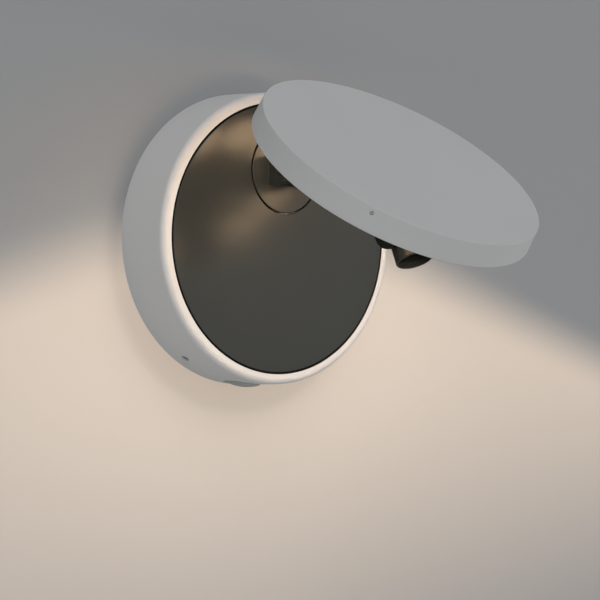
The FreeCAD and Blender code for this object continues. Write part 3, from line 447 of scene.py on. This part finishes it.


# --- Drum and push button ---
# The drum is a die casting with a fine matt powder coat. Its seat of the face plate, in the gap
# behind the face, is painted near black as shade. The button is turned from aluminium and blasted,
# and its coat is painted darker than the drum's as shade, since it faces down.

def powder_coat(finish, colour, roughness, painted_shade=0.0):
    """Matt powder coat with a fine grain, faint clouding and a slight gloss change, painted near
    black as shade where its painted shade mask is 1."""
    grain = finish.noise(1500.0, 3.0)
    cloud = finish.noise(22.0)
    coat = finish.mix(cloud * 0.7 + grain * 0.3, *shades(colour, 0.025))
    return finish.surface({
        "Base Color": finish.mix(painted_shade, coat, (0.008, 0.008, 0.008)),
        "Roughness": roughness - 0.05 + cloud * 0.1,
        "Specular IOR Level": 0.35,
        "Normal": finish.bump(grain, 0.12, 0.00012)})


seat_radius = 0.0629
seat_front = -0.0288        # the seat's place along Y, just behind the drum's front edge

# The face plate's seat, in the narrow gap behind the face, is painted near black as shade.
shell = Finish("shell_coat")
from_axis = (shell.along("X") ** 2 + shell.along("Z") ** 2) ** 0.5
painted_gap_shade = ((1.0 - shell.step(from_axis, seat_radius, seat_radius + 0.0001))
           * shell.step(shell.along("Y"), seat_front, seat_front + 0.0002))
dress(powder_coat(shell, (0.50, 0.495, 0.49), 0.62, painted_gap_shade), "base_shell")
# The button's coat is the drum's pale coat painted darker, as shade on its downward face.
dress(powder_coat(Finish("button_coat_painted_shade"), (0.29, 0.29, 0.28), 0.55), "push_button")


# --- Face plate ---
# A turned aluminium disc with a dark bronze-grey satin coat, which mirrors softly. Three screws
# from behind hold it on the drum's ledge.

def satin_coat(name, colour, roughness, metallic=0.35, gloss=0.32):
    """Dark satin coat with a fine even grain and small changes of gloss."""
    finish = Finish(name)
    grain = finish.noise(2600.0)
    cloud = finish.noise(30.0, 3.0)
    return finish.surface({
        "Base Color": finish.mix(cloud * 0.5 + grain * 0.5, *shades(colour, 0.10)),
        "Metallic": metallic,
        "Specular IOR Level": gloss,
        "Roughness": roughness - 0.02 + cloud * 0.04,
        "Normal": finish.bump(grain, 0.10, 0.00006)})


dress(satin_coat("face_satin", (0.030, 0.033, 0.031), 0.24), "face_plate")
ledge_circle, ledge_back = 59.75, 23.5
set_of(pan_screw(length=4.5), "face_screws",
       [(around(ledge_circle, angle, ledge_back), (0, 1, 0)) for angle in (30, 150, 270)],
       "base", "face_plate_screws", bright_steel)


# --- Turntable and its bearing ---
# The turntable's hub turns in a flanged bush of pale bearing plastic behind the face plate. A wave
# washer and a screwed collar hold it, and the collar's lug meets a pin at each end of the turn.

def eased(name, body, node, material, width):
    """A copy of a CAD piece with its sharp edges eased, as tumbling and coating leave them."""
    shape = bmesh.new()
    shape.from_mesh(frame["nodes"][node].data)
    bmesh.ops.remove_doubles(shape, verts=shape.verts, dist=10 * same_place)
    flat, sharp = math.radians(0.5), math.radians(50)
    bmesh.ops.dissolve_limit(shape, angle_limit=flat, verts=shape.verts, edges=shape.edges)
    corners = [edge for edge in shape.edges
               if len(edge.link_faces) == 2 and edge.calc_face_angle() > sharp]
    bmesh.ops.bevel(shape, geom=corners, offset=width * mm, segments=2, profile=0.5,
                    affect="EDGES", clamp_overlap=True, material=-1)
    piece = stand_in(shape, name, body, node, material, sharp_angle=35)
    flats = piece.modifiers.new("flats_stay_flat", "WEIGHTED_NORMAL")
    flats.weight = 100
    flats.keep_sharp = True


joint_place = {joint["name"]: Vector(joint["pos_m"])
               for joint in frame["joints"] if "pos_m" in joint}
hub_height = joint_place["turntable_pan"].z / mm
flange_circle, flange_back = 22.6, 23.0
collar_circle, collar_back = 8.2, 11.0

eased("turntable_body", "turntable", "turntable",
      satin_coat("turntable_satin", (0.030, 0.033, 0.031), 0.24), 0.15)
dress(moulded("bearing_ivory", (0.70, 0.69, 0.64), 0.38), "bearing_housing")
dress(moulded("washer_black", (0.025, 0.025, 0.025), 0.55), "thrust_washer")
dress(bare_metal("spring_steel", (0.50, 0.49, 0.47), 0.28), "wave_washer")
dress(bare_metal("collar_zinc", (0.58, 0.59, 0.58), 0.40, 400.0, 0.10), "retaining_collar")
set_of(pan_screw(length=5.0), "housing_screws",
       [(around(flange_circle, angle, flange_back, hub_height), (0, 1, 0))
        for angle in (90, 210, 330)],
       "base", "bearing_screws", bright_steel)
set_of(pan_screw(length=6.5), "hub_end_screws",
       [(around(collar_circle, angle, collar_back, hub_height), (0, 1, 0))
        for angle in (30, 150, 270)],
       "turntable", "collar_screws", bright_steel)


# --- Arm and its hinges ---
# A square bar milled from aluminium, with a satin coat nearly black and a flush lid over the lead
# channel. Burnished steel pins and black friction washers make its two hinges.

eased("arm_body", "arm", "arm",
      satin_coat("arm_satin", (0.010, 0.012, 0.011), 0.34, 0.2, 0.25), 0.3)
dress(satin_coat("lid_satin", (0.011, 0.012, 0.011), 0.36, 0.2, 0.25), "arm_cover")
dress(bare_metal("burnished_pin", (0.15, 0.145, 0.14), 0.30), "base_hinge_pin", "head_hinge_pin")
dress(moulded("hinge_washer_black", (0.025, 0.025, 0.025), 0.5),
      "base_hinge_washers", "head_hinge_washers")


# --- Head ---
# A thin turned dish with the drum's matt coat, painted darker all over as shade for its rim. Three
# tiny screws in its rim grip the heat spreader, and four countersunk screws hold the dark hub plate
# under it.

head_tilt = math.radians(36.65)
head_centre = Vector((0, -98.769, 24.396)) * mm
head_frame = Matrix.Translation(head_centre) @ Matrix.Rotation(head_tilt, 4, "X")
head_up = head_frame.to_3x3() @ Vector((0, 0, 1))


def in_head(radius, angle, height):
    """A place in the head's own plane, in millimetres from the centre of its underside."""
    turn = math.radians(angle)
    return head_frame @ (Vector((radius * math.cos(turn), radius * math.sin(turn), height)) * mm)


def head_outward(angle):
    """The way from the head's axis to its rim."""
    turn = math.radians(angle)
    return head_frame.to_3x3() @ Vector((math.cos(turn), math.sin(turn), 0))


# The head's coat is the drum's coat painted darker, as shade that falls on its rim.
dress(powder_coat(Finish("head_coat_painted_shade"), (0.445, 0.443, 0.440), 0.60), "head_shell")
dress(satin_coat("hub_satin", (0.014, 0.015, 0.014), 0.34, 0.2, 0.25), "head_hub")

rim_reach, rim_height = 61.3, 7.6
headless = [(0.8, 0), (0.9, -0.1), (0.9, -1.1), (0.7, -1.2)]
set_of(socket_screw(headless, across_flats=0.9, depth=0.35), "rim_screws",
       [(in_head(rim_reach, angle, rim_height), head_outward(angle)) for angle in (100, 220, 340)],
       "head", "head_grub_screws", bright_steel)
hub_circle = 25.0
countersunk = [(2.6, 0), (1.7, -0.9), (1.25, -0.9), (1.25, -4.7), (0.95, -5.0)]
set_of(socket_screw(countersunk, across_flats=2.0, depth=1.2), "plate_screws",
       [(in_head(hub_circle, angle, 0), -head_up) for angle in (45, 135, 225, 315)],
       "head", "hub_screws", black_steel)


# --- Light ring in the head ---
# An opal ring closes the dish below. Above it lie two white reflector rings, a ring-shaped board
# with 24 light-emitting packages and an aluminium disc that spreads the heat. Twelve soft glows and
# twelve beams, weaker next to the wall, carry its light.

def across_head(finish):
    """The head's own X and Y and the distance from its axis, in metres."""
    place = finish.seen_from(head_centre, (head_tilt, 0, 0))
    x, y = finish.along("X", place), finish.along("Y", place)
    return x, y, (x ** 2 + y ** 2) ** 0.5


groove_pitch = 0.0005236
spreader = Finish("turned_aluminium")
spreader_out = across_head(spreader)[2]
tool_marks = (spreader_out * (2 * math.pi / groove_pitch)).maths("SINE")
spreader_cloud = spreader.noise(60.0)
dress(spreader.surface({
    "Base Color": spreader.mix(spreader_cloud, (0.66, 0.67, 0.68), (0.72, 0.73, 0.74)),
    "Metallic": 1.0,
    "Roughness": 0.32 + spreader_cloud * 0.10,
    "Normal": spreader.bump(tool_marks, 0.25, 0.00003)}), "heat_spreader")

track_half, track_edge = 0.0010, 0.0003
board = Finish("board_lacquer")
board_out = across_head(board)[2]
inner_track, outer_track = (
    1.0 - board.step(abs(board_out - radius), track_half, track_half + track_edge)
    for radius in (0.0415, 0.0495))
tracks = inner_track + outer_track
dress(board.surface({
    "Base Color": board.mix(tracks, (0.76, 0.77, 0.75), (0.66, 0.68, 0.64)),
    "Roughness": 0.36 - tracks * 0.06,
    "Normal": board.bump(tracks + board.noise(900.0) * 0.2, 0.3, 0.00005)}), "led_board")

phosphor = Finish("phosphor")
phosphor_grain = phosphor.noise(3000.0)
dress(phosphor.surface({
    "Base Color": phosphor.mix(phosphor_grain, (0.80, 0.62, 0.20), (0.88, 0.74, 0.30)),
    "Roughness": 0.35 + phosphor_grain * 0.15,
    "Normal": phosphor.bump(phosphor_grain, 0.2, 0.00004)}), "leds", "spot_led")
dress(moulded("reflector_white", (0.86, 0.86, 0.85), 0.22, 0.5),
      "outer_reflector", "inner_reflector")

package_count = 24
ring_middle = 0.0457
glow_core, glow_rim = 0.003, 0.017      # metres from the ring's middle where its glow fades
opal = Finish("opal_plastic")
opal_x, opal_y, opal_out = across_head(opal)
beads = (opal_y.maths("ARCTAN2", opal_y, opal_x) * package_count).maths("COSINE")
glow_band = ((1.0 - opal.step(abs(opal_out - ring_middle), glow_core, glow_rim))
             * (0.9 + beads * 0.1))
dress(opal.surface({
    "Base Color": opal.mix(opal.noise(60.0), (0.54, 0.52, 0.48), (0.58, 0.56, 0.52)),
    "Roughness": 0.45,
    "Emission Color": opal.mix(glow_band, (0.70, 0.44, 0.24), (1.0, 0.70, 0.42)),
    "Emission Strength": 0.6,
    "Normal": opal.bump(opal.noise(1800.0), 0.05, 0.00005)}), "diffuser")

beam_count = 12
beam_circle = 46.0
beam_height = -0.9
wall_side_cut = 0.75
for index in range(beam_count):
    turn = 360 / beam_count * index
    towards_wall = max(0.0, math.sin(math.radians(turn)))
    beam = bpy.data.lights.new(f"ring_beam_{index}", "SPOT")
    beam.spot_size = math.radians(132)
    beam.spot_blend = 0.65
    beam.shadow_soft_size = 0.010
    beam.energy = 0.072 * (1.0 - wall_side_cut * towards_wall)
    beam.color = (1.0, 0.94, 0.85)
    glow = bpy.data.lights.new(f"ring_glow_{index}", "AREA")
    glow.shape = "DISK"
    glow.size = 0.022
    glow.energy = 0.0108
    glow.color = (1.0, 0.66, 0.40)
    for data in (beam, glow):
        lamp = bpy.data.objects.new(data.name, data)
        lamp.matrix_world = (Matrix.Translation(in_head(beam_circle, turn, beam_height))
                             @ (-head_up).to_track_quat("-Z", "Y").to_matrix().to_4x4())
        lamp.visible_camera = False
        lamp.visible_glossy = data is glow
        bpy.context.collection.objects.link(lamp)
        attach(lamp, "head")


# --- Yoke ---
# A fork bent from steel and coated matt black. One countersunk screw, with a friction washer above
# it, holds it under the hub plate and lets it swivel.

yoke_turn = math.radians(-5)
yoke_frame = (Matrix.Translation(joint_place["spot_turn"])
              @ Matrix.Rotation(head_tilt, 4, "X") @ Matrix.Rotation(yoke_turn, 4, "Z"))
yoke_up = yoke_frame.to_3x3() @ Vector((0, 0, 1))
washer, bridge = 0.5, 1.6   # thickness of the friction washer and of the yoke's bridge
yoke_screw_seat = yoke_frame @ (Vector((0, 0, -washer - bridge)) * mm)

eased("yoke_body", "yoke", "spot_yoke",
      satin_coat("yoke_black", (0.004, 0.005, 0.004), 0.42, 0.1, 0.12), 0.25)
dress(moulded("swivel_washer_black", (0.022, 0.022, 0.022), 0.55), "swivel_washer")
swivel = [(2.8, 0), (1.5, -1.3), (1.5, -3.8), (1.2, -4.1)]
set_of(socket_screw(swivel, across_flats=2.0, depth=1.3), "yoke_screw",
       [(yoke_screw_seat, -yoke_up)],
       "head", "swivel_screw", black_steel)


# --- Small spot ---
# A short tube turned from aluminium and coated black, hung in the yoke on two shouldered screws. A
# stepped ring and a clear lens sit in its mouth, and a grooved cap closes it behind.

spot_drop = 13.5
spot_tilt = math.radians(-63.8)
spot_frame = (yoke_frame @ Matrix.Translation(Vector((0, 0, -spot_drop)) * mm)
              @ Matrix.Rotation(spot_tilt, 4, "X"))
spot_across = spot_frame.to_3x3() @ Vector((1, 0, 0))
cheek_seat = 9.95

dress(satin_coat("spot_black", (0.013, 0.014, 0.013), 0.34, 0.25, 0.3),
      "spot_barrel", "spot_end_cap")
dress(moulded("baffle_black", (0.006, 0.006, 0.006), 0.7, 0.15), "spot_baffle")
lens = Finish("lens_glass")
dress(lens.surface({
    "Base Color": lens.mix(lens.noise(80.0), (0.93, 0.96, 0.98), (0.97, 0.99, 1.0)),
    "Roughness": 0.03 + lens.noise(400.0) * 0.02,
    "IOR": 1.49,
    "Transmission Weight": 1.0}), "spot_lens")
shouldered = [(2.35, 0), (2.6, -0.25), (2.6, -0.9), (1.5, -0.9), (1.5, -5.05)]
set_of(socket_screw(shouldered, across_flats=2.0, depth=1.2), "spot_side_screws",
       [(spot_frame @ (Vector((side * cheek_seat, 0, 0)) * mm), side * spot_across)
        for side in (-1, 1)],
       "spot", "spot_pivot_screws", black_steel)
